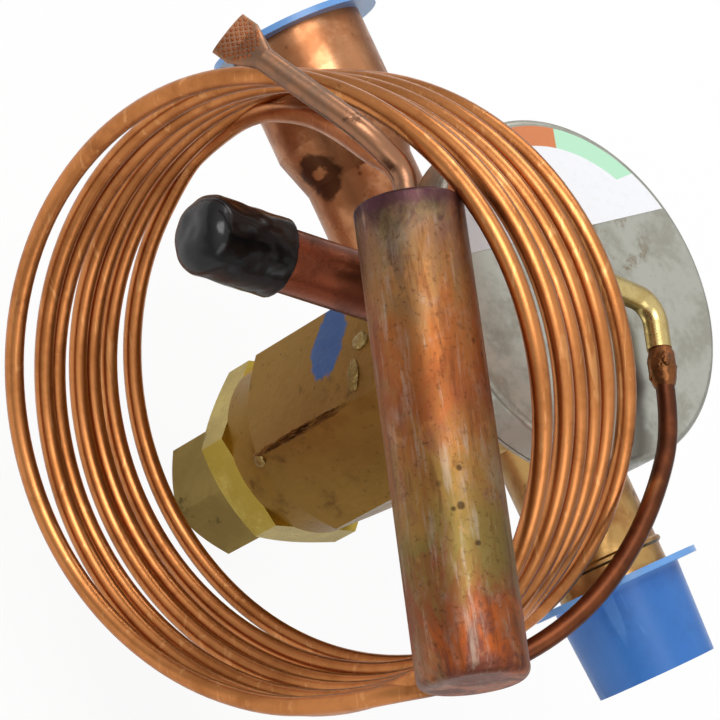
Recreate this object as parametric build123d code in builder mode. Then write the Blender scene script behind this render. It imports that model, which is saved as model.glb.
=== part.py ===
"""Externally equalised thermostatic expansion valve with solder ends, coiled capillary and sensing bulb.

Units are millimetres. The origin is the centre of the inlet socket's mouth, +X runs from the inlet towards
the outlet, +Y towards the sensing bulb and +Z up the valve's own axis to the power head.
"""
from build123d import *
from math import cos, pi, radians, sin, sqrt, tan
import os

os.makedirs("parts", exist_ok=True)

# ---- body ----
inlet_reach = 38.2              # valve axis to the mouth of the inlet socket
outlet_reach = 46.0             # valve axis to the mouth of the outlet socket
equalizer_reach = 44.0          # valve axis to the mouth of the equaliser socket
body_across_flats = 25.0
body_top = 8.5
cone_angle = 44.6               # turned cone under the hexagon, degrees from level
collar_top = -36.1              # where the turned cone meets the collar
collar_radius = 12.2
collar_bottom = -40.8
outlet_drop = 10.0              # outlet axis below the inlet axis
equalizer_rise = 0.9            # equaliser axis above the inlet axis
equalizer_heading = 60.0        # degrees from +X towards +Y

# ---- tubes ----
tube_wall = 0.75
inlet_socket_radius = 6.4       # takes a 12.7 tube
inlet_socket_depth = 12.7
outlet_socket_radius = 8.0      # takes a 15.9 tube
outlet_socket_depth = 12.7
equalizer_socket_radius = 3.2   # takes a 6.35 tube
equalizer_socket_depth = 9.5
neck_wall = 1.8
spigot_radius = 6.2             # tube end that enters the body
spigot_depth = 4.0
outlet_neck_radius = 7.15
outlet_swage_length = 14.0      # from the end of the taper to the mouth of the outlet socket
outlet_taper_length = 5.4
bead_offset = 6.5               # bright bead, back from the inlet mouth
bead_width = 1.0
bead_height = 0.4
braze_height = 0.9
braze_length = 1.4
braze_gap = 0.05                # radial gap that the braze fills

# ---- passages ----
inlet_bore_radius = 4.8
outlet_bore_radius = 5.6
chamber_radius = 4.0            # over the seat ring
chamber_height = 8.2
seat_ring_radius = 4.6
seat_ring_top = -5.0
seat_ring_height = 3.0
port_radius = 1.7
spring_bore_radius = 8.2
diaphragm_recess_radius = 9.6
diaphragm_recess_depth = 1.4
equalizer_bore_radius = 2.4
equalizer_stop_radius = 2.9     # bore of the tube behind its socket, which stops the tube put in
equalizer_duct_radius = 0.9
equalizer_duct_offset = 7.8     # duct up to the diaphragm, from the valve axis
rod_radius = 1.0
rod_offset = 6.5
rod_heading = 105.0             # degrees from +X, and the other rod opposite
running_gap = 0.05              # radial, where one piece slides in another

# ---- moving train ----
stroke_room = 0.1               # buffer plate to diaphragm, and pin to port
carrier_top = -10.6
carrier_height = 9.0
carrier_hub_radius = 4.2        # centres the spring
carrier_hub_height = 3.0
pin_radius = 2.4
pin_tip_radius = 0.5
pin_cone_start = 1.3            # above the carrier
pin_cone_length = 2.8
buffer_radius = 8.4
buffer_thickness = 1.2
spring_radius = 5.6             # to the middle of the wire
spring_wire = 1.3
spring_turns = 4.5
spring_length = 12.6
spring_seat_height = 2.6
stem_radius = 2.5
stem_top_margin = 3.0           # stem above the spring seat
stem_collar_radius = 4.6
stem_collar_height = 1.6
stem_square = 3.2
stem_square_length = 3.5

# ---- bottom nut and seal cap ----
nut_across_flats = 23.2
nut_heading = 10.0              # degrees, first corner
nut_height = 5.5
nut_spigot_height = 4.5
neck_radius = 5.4
neck_length = 6.0
gland_radius = 4.0
gland_depth = 5.0
packing_height = 4.0
seal_cap_across_flats = 15.9
seal_cap_heading = 95.0
seal_cap_height = 13.7
seal_cap_end = 1.6
gasket_thickness = 0.8
thread_gap = 0.06
edge_break = 0.8

# ---- power head ----
head_radius = 22.6
head_face = 15.35
head_wall = 0.9
head_shoulder = 0.85
head_rim_bottom = 9.6
diaphragm_level = 10.1
diaphragm_thickness = 0.15
head_cone_start = 18.5
label_radius = 21.5
label_chord = 7.3               # from the head's centre
label_turn = 3.6                # degrees
label_thickness = 0.12

# ---- blue cap, blue plug and black cap ----
cap_length = 12.6
cap_mouth_radius = 8.3
cap_end_radius = 7.7
cap_wall = 0.9
cap_flange_radius = 10.9
cap_flange_thickness = 0.8
cap_overlap = 4.3               # inlet tube inside the cap
plug_clearance = 0.05
plug_length = 12.0
plug_draft = 0.6                # loss of radius along the plug
plug_flange_radius = 11.2
black_cap_radius = 5.2
black_cap_overlap = 9.1
black_cap_gap = 1.5             # tube's mouth to the cap's end wall
black_cap_end = 2.4
black_cap_rounding = 3.2

# ---- capillary, head stub and bulb ----
capillary_radius = 1.2
stub_radius = 1.55
joint_radius = 1.95
joint_start = (27.4, -5.3, 18.3)
joint_end = (23.6, -3.6, 18.3)
stub_elbow = (32.9, -7.75, 18.3)
coil_centre = (41.3, 35.7, -5.0)        # middle of the front turn
coil_axis = (0.053, 0.973, 0.226)
coil_radius = 37.6
coil_depth = 22.4                       # middle of the front turn to middle of the back turn
bulb_top = (52.4, 30.6, 24.3)
bulb_axis = (-0.935, 0.352, -0.048)     # from the top down
bulb_radius = 6.35
bulb_length = 56.0
bulb_wall = 0.8
bulb_rounding = 1.3
bulb_port_spread = 2.0                  # each tube from the bulb's axis
bulb_port_side = (0.196, 0.623, 0.757)
tail_straight = 5.0                     # straight run of the capillary into the bulb
tail_route = (                          # corners of the capillary from the coil to the bulb
    (75.9, 13.9, -18.7),
    (76.0, 14.2, -8.4),
    (71.6, 16.0, 1.2),
    (66.4, 20.1, 9.4),
    (60.8, 24.8, 17.0),
)
fill_radius = 1.4
fill_straight = 3.6                     # straight run out of the bulb before the first bend
fill_bend = (61.6, 34.0, 26.4)          # corner of the filling tube's second bend
fan_root = (74.6, 36.9, 19.5)           # where the tube starts to flatten
fan_width = 5.7
fan_thickness = 1.3
fan_flare = 3.2
fan_flat = 2.2
fan_side = (0.14, -0.7, 0.7)

# ---- shared places worked out from the sizes ----
valve_x = inlet_reach
inlet_tube_radius = inlet_socket_radius + tube_wall
outlet_tube_radius = outlet_socket_radius + tube_wall
equalizer_tube_radius = equalizer_socket_radius + tube_wall
flat = body_across_flats / 2
outlet_taper_end = outlet_reach - outlet_swage_length
outlet_taper_start = outlet_taper_end - outlet_taper_length
valve_axis = Axis((valve_x, 0, 0), (0, 0, 1))
inlet_axis = Axis((0, 0, 0), (1, 0, 0))
outlet_axis = Axis((0, 0, -outlet_drop), (1, 0, 0))
heading = Vector(cos(radians(equalizer_heading)), sin(radians(equalizer_heading)), 0)
equalizer_origin = Vector(valve_x, 0, equalizer_rise)
equalizer_axis = Axis(equalizer_origin, heading)
equalizer_plane = Plane(equalizer_origin, x_dir=heading, z_dir=heading.cross(Vector(0, 0, 1)))
valve_section = Plane((valve_x, 0, 0), x_dir=(1, 0, 0), z_dir=(0, -1, 0))
inlet_section = Plane((valve_x, 0, 0), x_dir=(-1, 0, 0), z_dir=(0, 1, 0))
outlet_section = Plane((valve_x, 0, -outlet_drop), x_dir=(1, 0, 0), z_dir=(0, -1, 0))
cone_reach = body_across_flats / sqrt(3) - collar_radius + 1
spring_bore_top = seat_ring_top - seat_ring_height
recess_floor = body_top - diaphragm_recess_depth
rod_places = [
    (rod_offset * cos(radians(rod_heading + turn)), rod_offset * sin(radians(rod_heading + turn)))
    for turn in (0, 180)
]
spring_top = carrier_top - carrier_height + carrier_hub_height
spring_bottom = spring_top - spring_length
nut_bottom = collar_bottom - nut_height
nut_spigot_top = collar_bottom + nut_spigot_height
neck_bottom = nut_bottom - neck_length
seal_cap_bottom = nut_bottom - seal_cap_height


def at_valve(level):
    """Plane across the valve axis at a level."""
    return Plane((valve_x, 0, level))


def route(points):
    """Straight runs joined by tangent arcs, each as large as its two runs allow; also gives the radii."""
    corners = [Vector(*point) for point in points]
    runs = [end - start for start, end in zip(corners, corners[1:])]
    radii = [
        0.45 * min(first.length, second.length) / tan(radians(first.get_angle(second)) / 2)
        for first, second in zip(runs, runs[1:])
    ]
    return corners, radii


# ---- body: hexagon bar with a turned collar, bored from both ends ----
with BuildPart() as valve_body:
    with BuildSketch(at_valve(collar_top)):
        RegularPolygon(flat, 6, major_radius=False, rotation=30)
    extrude(amount=body_top - collar_top)
    with BuildSketch(valve_section):
        with BuildLine():
            Polyline(
                (collar_radius, collar_top),
                (collar_radius + cone_reach, collar_top),
                (collar_radius + cone_reach, collar_top + cone_reach * tan(radians(cone_angle))),
                close=True,
            )
        make_face()
    revolve(axis=valve_axis, mode=Mode.SUBTRACT)
    with BuildSketch(at_valve(collar_bottom)):
        Circle(collar_radius)
    extrude(amount=collar_top - collar_bottom)
    with BuildSketch(at_valve(recess_floor)):
        Circle(diaphragm_recess_radius)
    extrude(amount=diaphragm_recess_depth, mode=Mode.SUBTRACT)
    with BuildSketch(at_valve(collar_bottom)):
        Circle(spring_bore_radius)
    extrude(amount=spring_bore_top - collar_bottom, mode=Mode.SUBTRACT)
    with BuildSketch(at_valve(spring_bore_top)):
        Circle(seat_ring_radius)
    extrude(amount=seat_ring_height, mode=Mode.SUBTRACT)
    with BuildSketch(at_valve(seat_ring_top)):
        Circle(chamber_radius)
    extrude(amount=chamber_height, mode=Mode.SUBTRACT)
    with BuildSketch(at_valve(spring_bore_top)):
        with Locations(*rod_places):
            Circle(rod_radius + running_gap)
    extrude(amount=recess_floor - spring_bore_top, mode=Mode.SUBTRACT)
    with BuildSketch(Plane((valve_x, 0, 0), z_dir=(-1, 0, 0))):
        Circle(inlet_bore_radius)
    extrude(amount=flat, mode=Mode.SUBTRACT)
    with BuildSketch(Plane((valve_x - flat, 0, 0), z_dir=(1, 0, 0))):
        Circle(spigot_radius + braze_gap)
    extrude(amount=spigot_depth, mode=Mode.SUBTRACT)
    with BuildSketch(Plane((valve_x + flat, 0, -outlet_drop), z_dir=(-1, 0, 0))):
        Circle(outlet_bore_radius)
    extrude(amount=flat - seat_ring_radius - 1, mode=Mode.SUBTRACT)
    with BuildSketch(Plane((valve_x + flat, 0, -outlet_drop), z_dir=(-1, 0, 0))):
        Circle(spigot_radius + braze_gap)
    extrude(amount=spigot_depth, mode=Mode.SUBTRACT)
    with BuildSketch(Plane(equalizer_origin + heading * flat, z_dir=heading * -1)):
        Circle(equalizer_bore_radius)
    extrude(amount=flat - equalizer_duct_offset + 2 * equalizer_duct_radius, mode=Mode.SUBTRACT)
    with BuildSketch(Plane(equalizer_origin + heading * flat, z_dir=heading * -1)):
        Circle(equalizer_tube_radius + braze_gap)
    extrude(amount=spigot_depth, mode=Mode.SUBTRACT)
    with BuildSketch(Plane(equalizer_origin + heading * equalizer_duct_offset)):
        Circle(equalizer_duct_radius)
    extrude(amount=recess_floor - equalizer_rise, mode=Mode.SUBTRACT)
valve_body.part.label = "valve_body"
export_step(valve_body.part, "parts/valve_body.step")

# ---- tubes, brazed into the body ----
with BuildPart() as inlet_tube:
    with BuildSketch(inlet_section):
        with BuildLine():
            Polyline(
                (flat - spigot_depth, spigot_radius - neck_wall / 2),
                (flat - spigot_depth, spigot_radius),
                (flat, spigot_radius),
                (flat, inlet_tube_radius),
                (inlet_reach - bead_offset - bead_width, inlet_tube_radius),
                (inlet_reach - bead_offset - bead_width * 0.7, inlet_tube_radius + bead_height),
                (inlet_reach - bead_offset - bead_width * 0.3, inlet_tube_radius + bead_height),
                (inlet_reach - bead_offset, inlet_tube_radius),
                (inlet_reach, inlet_tube_radius),
                (inlet_reach, inlet_socket_radius),
                (inlet_reach - inlet_socket_depth, inlet_socket_radius),
                (inlet_reach - inlet_socket_depth, spigot_radius - neck_wall / 2),
                close=True,
            )
        make_face()
    revolve(axis=inlet_axis)
inlet_tube.part.label = "inlet_tube"
export_step(inlet_tube.part, "parts/inlet_tube.step")

with BuildPart() as outlet_tube:
    with BuildSketch(outlet_section):
        with BuildLine():
            Polyline(
                (flat - spigot_depth, spigot_radius - neck_wall / 2),
                (flat - spigot_depth, spigot_radius),
                (flat, spigot_radius),
                (flat, outlet_neck_radius),
                (outlet_taper_start, outlet_neck_radius),
                (outlet_taper_end, outlet_tube_radius),
                (outlet_reach, outlet_tube_radius),
                (outlet_reach, outlet_socket_radius),
                (outlet_reach - outlet_socket_depth, outlet_socket_radius),
                (outlet_taper_start, spigot_radius - neck_wall / 2),
                close=True,
            )
        make_face()
    revolve(axis=outlet_axis)
outlet_tube.part.label = "outlet_tube"
export_step(outlet_tube.part, "parts/outlet_tube.step")

with BuildPart() as equalizer_tube:
    with BuildSketch(equalizer_plane):
        with BuildLine():
            Polyline(
                (flat - spigot_depth, equalizer_stop_radius),
                (flat - spigot_depth, equalizer_tube_radius),
                (equalizer_reach, equalizer_tube_radius),
                (equalizer_reach, equalizer_socket_radius),
                (equalizer_reach - equalizer_socket_depth, equalizer_socket_radius),
                (equalizer_reach - equalizer_socket_depth, equalizer_stop_radius),
                close=True,
            )
        make_face()
    revolve(axis=equalizer_axis)
equalizer_tube.part.label = "equalizer_tube"
export_step(equalizer_tube.part, "parts/equalizer_tube.step")

# ---- braze fillets round the tubes ----
with BuildPart() as inlet_braze:
    with BuildSketch(inlet_section):
        with BuildLine():
            Polyline((flat + braze_length, inlet_tube_radius), (flat, inlet_tube_radius))
            Line((flat, inlet_tube_radius), (flat, inlet_tube_radius + braze_height))
            Line((flat, inlet_tube_radius + braze_height), (flat + braze_length, inlet_tube_radius))
        make_face()
    revolve(axis=inlet_axis)
inlet_braze.part.label = "inlet_braze"
export_step(inlet_braze.part, "parts/inlet_braze.step")

with BuildPart() as outlet_braze:
    with BuildSketch(outlet_section):
        with BuildLine():
            Polyline((flat + braze_length, outlet_neck_radius), (flat, outlet_neck_radius))
            Line((flat, outlet_neck_radius), (flat, outlet_neck_radius + braze_height))
            Line((flat, outlet_neck_radius + braze_height), (flat + braze_length, outlet_neck_radius))
        make_face()
    revolve(axis=outlet_axis)
outlet_braze.part.label = "outlet_braze"
export_step(outlet_braze.part, "parts/outlet_braze.step")

with BuildPart() as equalizer_braze:
    with BuildSketch(equalizer_plane):
        with BuildLine():
            Polyline((flat + braze_length, equalizer_tube_radius), (flat, equalizer_tube_radius))
            Line((flat, equalizer_tube_radius), (flat, equalizer_tube_radius + braze_height))
            Line((flat, equalizer_tube_radius + braze_height), (flat + braze_length, equalizer_tube_radius))
        make_face()
    revolve(axis=equalizer_axis)
equalizer_braze.part.label = "equalizer_braze"
export_step(equalizer_braze.part, "parts/equalizer_braze.step")

# ---- seat, pin and its carrier ----
with BuildPart() as seat_ring:
    with BuildSketch(at_valve(spring_bore_top)):
        Circle(seat_ring_radius)
        Circle(port_radius, mode=Mode.SUBTRACT)
    extrude(amount=seat_ring_height)
seat_ring.part.label = "seat_ring"
export_step(seat_ring.part, "parts/seat_ring.step")

with BuildPart() as pin_carrier:
    with BuildSketch(valve_section):
        with BuildLine():
            Polyline(
                (0, spring_top - carrier_hub_height),
                (carrier_hub_radius, spring_top - carrier_hub_height),
                (carrier_hub_radius, spring_top),
                (spring_bore_radius - running_gap, spring_top),
                (spring_bore_radius - running_gap, carrier_top),
                (0, carrier_top),
                close=True,
            )
        make_face()
    revolve(axis=valve_axis)
    with BuildSketch(at_valve(carrier_top)):
        Circle(pin_tip_radius + running_gap)
    extrude(amount=-carrier_hub_height, mode=Mode.SUBTRACT)
pin_carrier.part.label = "pin_carrier"
export_step(pin_carrier.part, "parts/pin_carrier.step")

with BuildPart() as valve_pin:
    with BuildSketch(valve_section):
        with BuildLine():
            Polyline(
                (0, carrier_top - carrier_hub_height + 1),
                (pin_tip_radius, carrier_top - carrier_hub_height + 1),
                (pin_tip_radius, carrier_top),
                (pin_radius, carrier_top),
                (pin_radius, carrier_top + pin_cone_start),
                (pin_tip_radius, carrier_top + pin_cone_start + pin_cone_length),
                (0, carrier_top + pin_cone_start + pin_cone_length),
                close=True,
            )
        make_face()
    revolve(axis=valve_axis)
valve_pin.part.label = "valve_pin"
export_step(valve_pin.part, "parts/valve_pin.step")

buffer_top = diaphragm_level - stroke_room
for number, place in enumerate(rod_places, start=1):
    with BuildPart() as push_rod:
        with BuildSketch(at_valve(carrier_top)):
            with Locations(place):
                Circle(rod_radius)
        extrude(amount=buffer_top - buffer_thickness - carrier_top)
    push_rod.part.label = f"push_rod_{number}"
    export_step(push_rod.part, f"parts/push_rod_{number}.step")

with BuildPart() as buffer_plate:
    with BuildSketch(at_valve(buffer_top - buffer_thickness)):
        Circle(buffer_radius)
    extrude(amount=buffer_thickness)
    fillet(buffer_plate.edges().group_by(Axis.Z)[-1], buffer_thickness / 3)
buffer_plate.part.label = "buffer_plate"
export_step(buffer_plate.part, "parts/buffer_plate.step")

# ---- superheat spring with its seat, stem and packing ----
with BuildPart() as superheat_spring:
    with BuildLine(at_valve(spring_bottom + spring_wire / 2)):
        coils = Helix(
            pitch=(spring_length - spring_wire) / spring_turns,
            height=spring_length - spring_wire,
            radius=spring_radius,
        )
    with BuildSketch(Plane(coils @ 0, z_dir=coils % 0)):
        RegularPolygon(spring_wire / 2, 8)
    sweep(is_frenet=True)
superheat_spring.part.label = "superheat_spring"
export_step(superheat_spring.part, "parts/superheat_spring.step")

with BuildPart() as spring_seat:
    with BuildSketch(at_valve(spring_bottom)):
        Circle(spring_bore_radius - running_gap)
        Circle(stem_radius + thread_gap, mode=Mode.SUBTRACT)
    extrude(amount=-spring_seat_height)
spring_seat.part.label = "spring_seat"
export_step(spring_seat.part, "parts/spring_seat.step")

stem_bottom = neck_bottom - stem_square_length
with BuildPart() as adjusting_stem:
    with BuildSketch(at_valve(stem_bottom + stem_square_length)):
        Circle(stem_radius)
    extrude(amount=spring_bottom + stem_top_margin - stem_bottom - stem_square_length)
    with BuildSketch(at_valve(nut_spigot_top)):
        Circle(stem_collar_radius)
    extrude(amount=stem_collar_height)
    with BuildSketch(at_valve(stem_bottom)):
        Rectangle(stem_square, stem_square)
    extrude(amount=stem_square_length)
    chamfer(adjusting_stem.edges().group_by(Axis.Z)[0], stem_square / 8)
adjusting_stem.part.label = "adjusting_stem"
export_step(adjusting_stem.part, "parts/adjusting_stem.step")

with BuildPart() as bottom_nut:
    with BuildSketch(at_valve(nut_bottom)):
        RegularPolygon(nut_across_flats / 2, 6, major_radius=False, rotation=nut_heading)
    extrude(amount=nut_height)
    with BuildSketch(valve_section):
        with BuildLine():
            Polyline(
                (nut_across_flats / 2 + edge_break * 3, nut_bottom),
                (nut_across_flats / 2, nut_bottom),
                (nut_across_flats / 2 + edge_break * 3, nut_bottom + edge_break * sqrt(3)),
                close=True,
            )
        make_face()
    revolve(axis=valve_axis, mode=Mode.SUBTRACT)
    with BuildSketch(at_valve(collar_bottom)):
        Circle(spring_bore_radius - thread_gap)
    extrude(amount=nut_spigot_height)
    with BuildSketch(at_valve(neck_bottom)):
        Circle(neck_radius)
    extrude(amount=neck_length)
    with BuildSketch(at_valve(neck_bottom)):
        Circle(stem_radius + running_gap)
    extrude(amount=nut_spigot_top - neck_bottom, mode=Mode.SUBTRACT)
    with BuildSketch(at_valve(neck_bottom)):
        Circle(gland_radius)
    extrude(amount=gland_depth, mode=Mode.SUBTRACT)
bottom_nut.part.label = "bottom_nut"
export_step(bottom_nut.part, "parts/bottom_nut.step")

with BuildPart() as stem_packing:
    with BuildSketch(at_valve(neck_bottom + gland_depth - packing_height)):
        Circle(gland_radius)
        Circle(stem_radius + running_gap / 5, mode=Mode.SUBTRACT)
    extrude(amount=packing_height)
stem_packing.part.label = "stem_packing"
export_step(stem_packing.part, "parts/stem_packing.step")

gasket_top = neck_bottom - running_gap
with BuildPart() as seal_cap:
    with BuildSketch(at_valve(seal_cap_bottom)):
        RegularPolygon(seal_cap_across_flats / 2, 6, major_radius=False, rotation=seal_cap_heading)
    extrude(amount=seal_cap_height - thread_gap)
    with BuildSketch(valve_section):
        with BuildLine():
            Polyline(
                (seal_cap_across_flats / 2 + edge_break * 3, seal_cap_bottom),
                (seal_cap_across_flats / 2 - edge_break, seal_cap_bottom),
                (seal_cap_across_flats / 2 + edge_break * 3, seal_cap_bottom + edge_break * 4 / sqrt(3)),
                close=True,
            )
        make_face()
    revolve(axis=valve_axis, mode=Mode.SUBTRACT)
    with BuildSketch(at_valve(gasket_top - gasket_thickness)):
        Circle(neck_radius + thread_gap)
    extrude(amount=nut_bottom - gasket_top + gasket_thickness, mode=Mode.SUBTRACT)
    with BuildSketch(at_valve(seal_cap_bottom + seal_cap_end)):
        Circle(gland_radius)
    extrude(amount=gasket_top - gasket_thickness - seal_cap_bottom - seal_cap_end, mode=Mode.SUBTRACT)
seal_cap.part.label = "seal_cap"
export_step(seal_cap.part, "parts/seal_cap.step")

with BuildPart() as seal_cap_gasket:
    with BuildSketch(at_valve(gasket_top - gasket_thickness)):
        Circle(neck_radius)
        Circle(gland_radius - edge_break, mode=Mode.SUBTRACT)
    extrude(amount=gasket_thickness)
seal_cap_gasket.part.label = "seal_cap_gasket"
export_step(seal_cap_gasket.part, "parts/seal_cap_gasket.step")

# ---- power head: two stamped housings round the diaphragm ----
with BuildPart() as lower_housing:
    with BuildSketch(valve_section):
        with BuildLine():
            Polyline(
                (diaphragm_recess_radius, body_top),
                (head_cone_start, body_top),
                (head_radius - head_wall, head_rim_bottom),
                (head_radius, head_rim_bottom),
                (head_radius, diaphragm_level),
                (head_radius - 2 * head_wall, diaphragm_level),
                (head_cone_start, body_top + head_wall),
                (diaphragm_recess_radius, body_top + head_wall),
                close=True,
            )
        make_face()
    revolve(axis=valve_axis)
lower_housing.part.label = "lower_housing"
export_step(lower_housing.part, "parts/lower_housing.step")

with BuildPart() as diaphragm:
    with BuildSketch(at_valve(diaphragm_level)):
        Circle(head_radius - head_wall / 3)
    extrude(amount=diaphragm_thickness)
diaphragm.part.label = "diaphragm"
export_step(diaphragm.part, "parts/diaphragm.step")

with BuildPart() as upper_housing:
    with BuildSketch(at_valve(diaphragm_level + diaphragm_thickness)):
        Circle(head_radius)
    extrude(amount=head_face - diaphragm_level - diaphragm_thickness)
    fillet(upper_housing.edges().group_by(Axis.Z)[-1], head_shoulder)
    with BuildSketch(at_valve(diaphragm_level + diaphragm_thickness)):
        Circle(head_radius - 2 * head_wall)
    extrude(amount=head_face - head_wall - diaphragm_level - diaphragm_thickness, mode=Mode.SUBTRACT)
    with BuildSketch(at_valve(head_face - head_wall)):
        Circle(stub_radius)
    extrude(amount=head_wall, mode=Mode.SUBTRACT)
upper_housing.part.label = "upper_housing"
export_step(upper_housing.part, "parts/upper_housing.step")

with BuildPart() as head_label:
    with BuildSketch(at_valve(head_face)):
        Circle(label_radius)
        with Locations(Rot(0, 0, -label_turn) * Pos(label_chord + label_radius, 0)):
            Rectangle(2 * label_radius, 4 * label_radius, mode=Mode.INTERSECT)
    extrude(amount=label_thickness)
head_label.part.label = "head_label"
export_step(head_label.part, "parts/head_label.step")

# ---- shipping caps and plug on the three open ends ----
with BuildPart() as inlet_cap:
    cap_start = inlet_reach - cap_overlap
    cap_end = cap_start + cap_length
    cap_slope = (cap_mouth_radius - cap_end_radius) / cap_length
    mouth_gap = cap_mouth_radius - cap_slope * cap_overlap - cap_wall - inlet_tube_radius
    with BuildSketch(inlet_section):
        with BuildLine():
            Polyline(
                (cap_end, 0),
                (cap_end, cap_end_radius),
                (cap_start + cap_flange_thickness, cap_mouth_radius),
                (cap_start + cap_flange_thickness, cap_flange_radius),
                (cap_start, cap_flange_radius),
                (cap_start, cap_mouth_radius - cap_wall),
                (cap_end - cap_wall, cap_end_radius - cap_wall),
                (cap_end - cap_wall, 0),
                close=True,
            )
        make_face()
    revolve(axis=inlet_axis)
inlet_cap.part.label = "inlet_cap"
export_step(inlet_cap.part, "parts/inlet_cap.step")

with BuildPart() as outlet_plug:
    plug_radius = outlet_socket_radius - plug_clearance
    with BuildSketch(outlet_section):
        with BuildLine():
            Polyline(
                (outlet_reach - plug_length, 0),
                (outlet_reach - plug_length, plug_radius - plug_draft),
                (outlet_reach, plug_radius),
                (outlet_reach, plug_flange_radius),
                (outlet_reach + cap_flange_thickness, plug_flange_radius),
                (outlet_reach + cap_flange_thickness, plug_radius - cap_wall),
                (outlet_reach - plug_length + cap_wall, plug_radius - plug_draft - cap_wall),
                (outlet_reach - plug_length + cap_wall, 0),
                close=True,
            )
        make_face()
    revolve(axis=outlet_axis)
outlet_plug.part.label = "outlet_plug"
export_step(outlet_plug.part, "parts/outlet_plug.step")

with BuildPart() as equalizer_cap:
    black_start = equalizer_reach - black_cap_overlap
    black_floor = equalizer_reach + black_cap_gap
    black_end = black_floor + black_cap_end
    with BuildSketch(equalizer_plane):
        with BuildLine():
            Line((black_end, 0), (black_end, black_cap_radius - black_cap_rounding))
            RadiusArc(
                (black_end, black_cap_radius - black_cap_rounding),
                (black_end - black_cap_rounding, black_cap_radius),
                -black_cap_rounding,
            )
            Polyline(
                (black_end - black_cap_rounding, black_cap_radius),
                (black_start, black_cap_radius),
                (black_start, equalizer_tube_radius + running_gap),
                (black_floor, equalizer_tube_radius + running_gap),
                (black_floor, 0),
                (black_end, 0),
            )
        make_face()
    revolve(axis=equalizer_axis)
equalizer_cap.part.label = "equalizer_cap"
export_step(equalizer_cap.part, "parts/equalizer_cap.step")

# ---- capillary: stub on the head, solder joint, lead, coil and tail ----
joint_line = Vector(*joint_end) - Vector(*joint_start)
with BuildPart() as capillary_stub:
    with BuildLine():
        stub_points, stub_radii = route(
            [(valve_x, 0, head_face - head_wall), (valve_x, 0, joint_start[2]), stub_elbow, joint_start]
        )
        FilletPolyline(*stub_points, radius=stub_radii)
    with BuildSketch(Plane(stub_points[0], z_dir=(0, 0, 1))):
        Circle(stub_radius)
    sweep()
capillary_stub.part.label = "capillary_stub"
export_step(capillary_stub.part, "parts/capillary_stub.step")

with BuildPart() as solder_joint:
    with BuildSketch(Plane(joint_start, z_dir=joint_line)):
        Circle(joint_radius)
    extrude(amount=joint_line.length)
    fillet(solder_joint.edges(), joint_radius - stub_radius)
solder_joint.part.label = "solder_joint"
export_step(solder_joint.part, "parts/solder_joint.step")

lead_points, lead_radii = route([
    joint_end,
    (18.1, -1.1, 18.3),
    (12.2, 5.2, 18.1),
    (6.6, 11.9, 15.9),
    (2.4, 19.6, 12.4),
    (0.7, 27.0, 7.8),
    (1.2, 33.6, 1.6),
    (3.2, 37.7, -5.0),
    (4.6, 39.4, -12.1),
])
with BuildPart() as capillary_lead:
    with BuildLine():
        FilletPolyline(*lead_points, radius=lead_radii)
    with BuildSketch(Plane(lead_points[0], z_dir=lead_points[1] - lead_points[0])):
        Circle(capillary_radius)
    sweep()
capillary_lead.part.label = "capillary_lead"
export_step(capillary_lead.part, "parts/capillary_lead.step")

coil_direction = Vector(*coil_axis).normalized()
coil_back = Vector(*coil_centre) - coil_direction * (coil_depth + capillary_radius)
with BuildPart() as capillary_coil:
    with BuildSketch(Plane(coil_back, z_dir=coil_direction)):
        Circle(coil_radius + capillary_radius)
        Circle(coil_radius - capillary_radius, mode=Mode.SUBTRACT)
    extrude(amount=coil_depth + 2 * capillary_radius)
capillary_coil.part.label = "capillary_coil"
export_step(capillary_coil.part, "parts/capillary_coil.step")

bulb_direction = Vector(*bulb_axis).normalized()
port_offset = Vector(*bulb_port_side).normalized() * bulb_port_spread
tail_entry = Vector(*bulb_top) - port_offset
fill_entry = Vector(*bulb_top) + port_offset
tail_points, tail_radii = route([
    *tail_route,
    tail_entry - bulb_direction * tail_straight,
    tail_entry,
])
with BuildPart() as capillary_tail:
    with BuildLine():
        FilletPolyline(*tail_points, radius=tail_radii)
    with BuildSketch(Plane(tail_points[0], z_dir=tail_points[1] - tail_points[0])):
        Circle(capillary_radius)
    sweep()
capillary_tail.part.label = "capillary_tail"
export_step(capillary_tail.part, "parts/capillary_tail.step")

# ---- sensing bulb and its crimped filling tube ----
with BuildPart() as bulb_shell:
    with BuildSketch(Plane(bulb_top, z_dir=bulb_direction)):
        Circle(bulb_radius)
    extrude(amount=bulb_length)
    bulb_ends = bulb_shell.edges().filter_by(GeomType.CIRCLE).sort_by(Axis(bulb_top, bulb_direction))
    fillet(bulb_ends[-1], bulb_rounding)
    fillet(bulb_ends[0], bulb_rounding / 3)
    with BuildSketch(Plane(Vector(*bulb_top) + bulb_direction * bulb_wall, z_dir=bulb_direction)):
        Circle(bulb_radius - bulb_wall)
    extrude(amount=bulb_length - 2 * bulb_wall, mode=Mode.SUBTRACT)
bulb_shell.part.label = "bulb_shell"
export_step(bulb_shell.part, "parts/bulb_shell.step")

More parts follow.
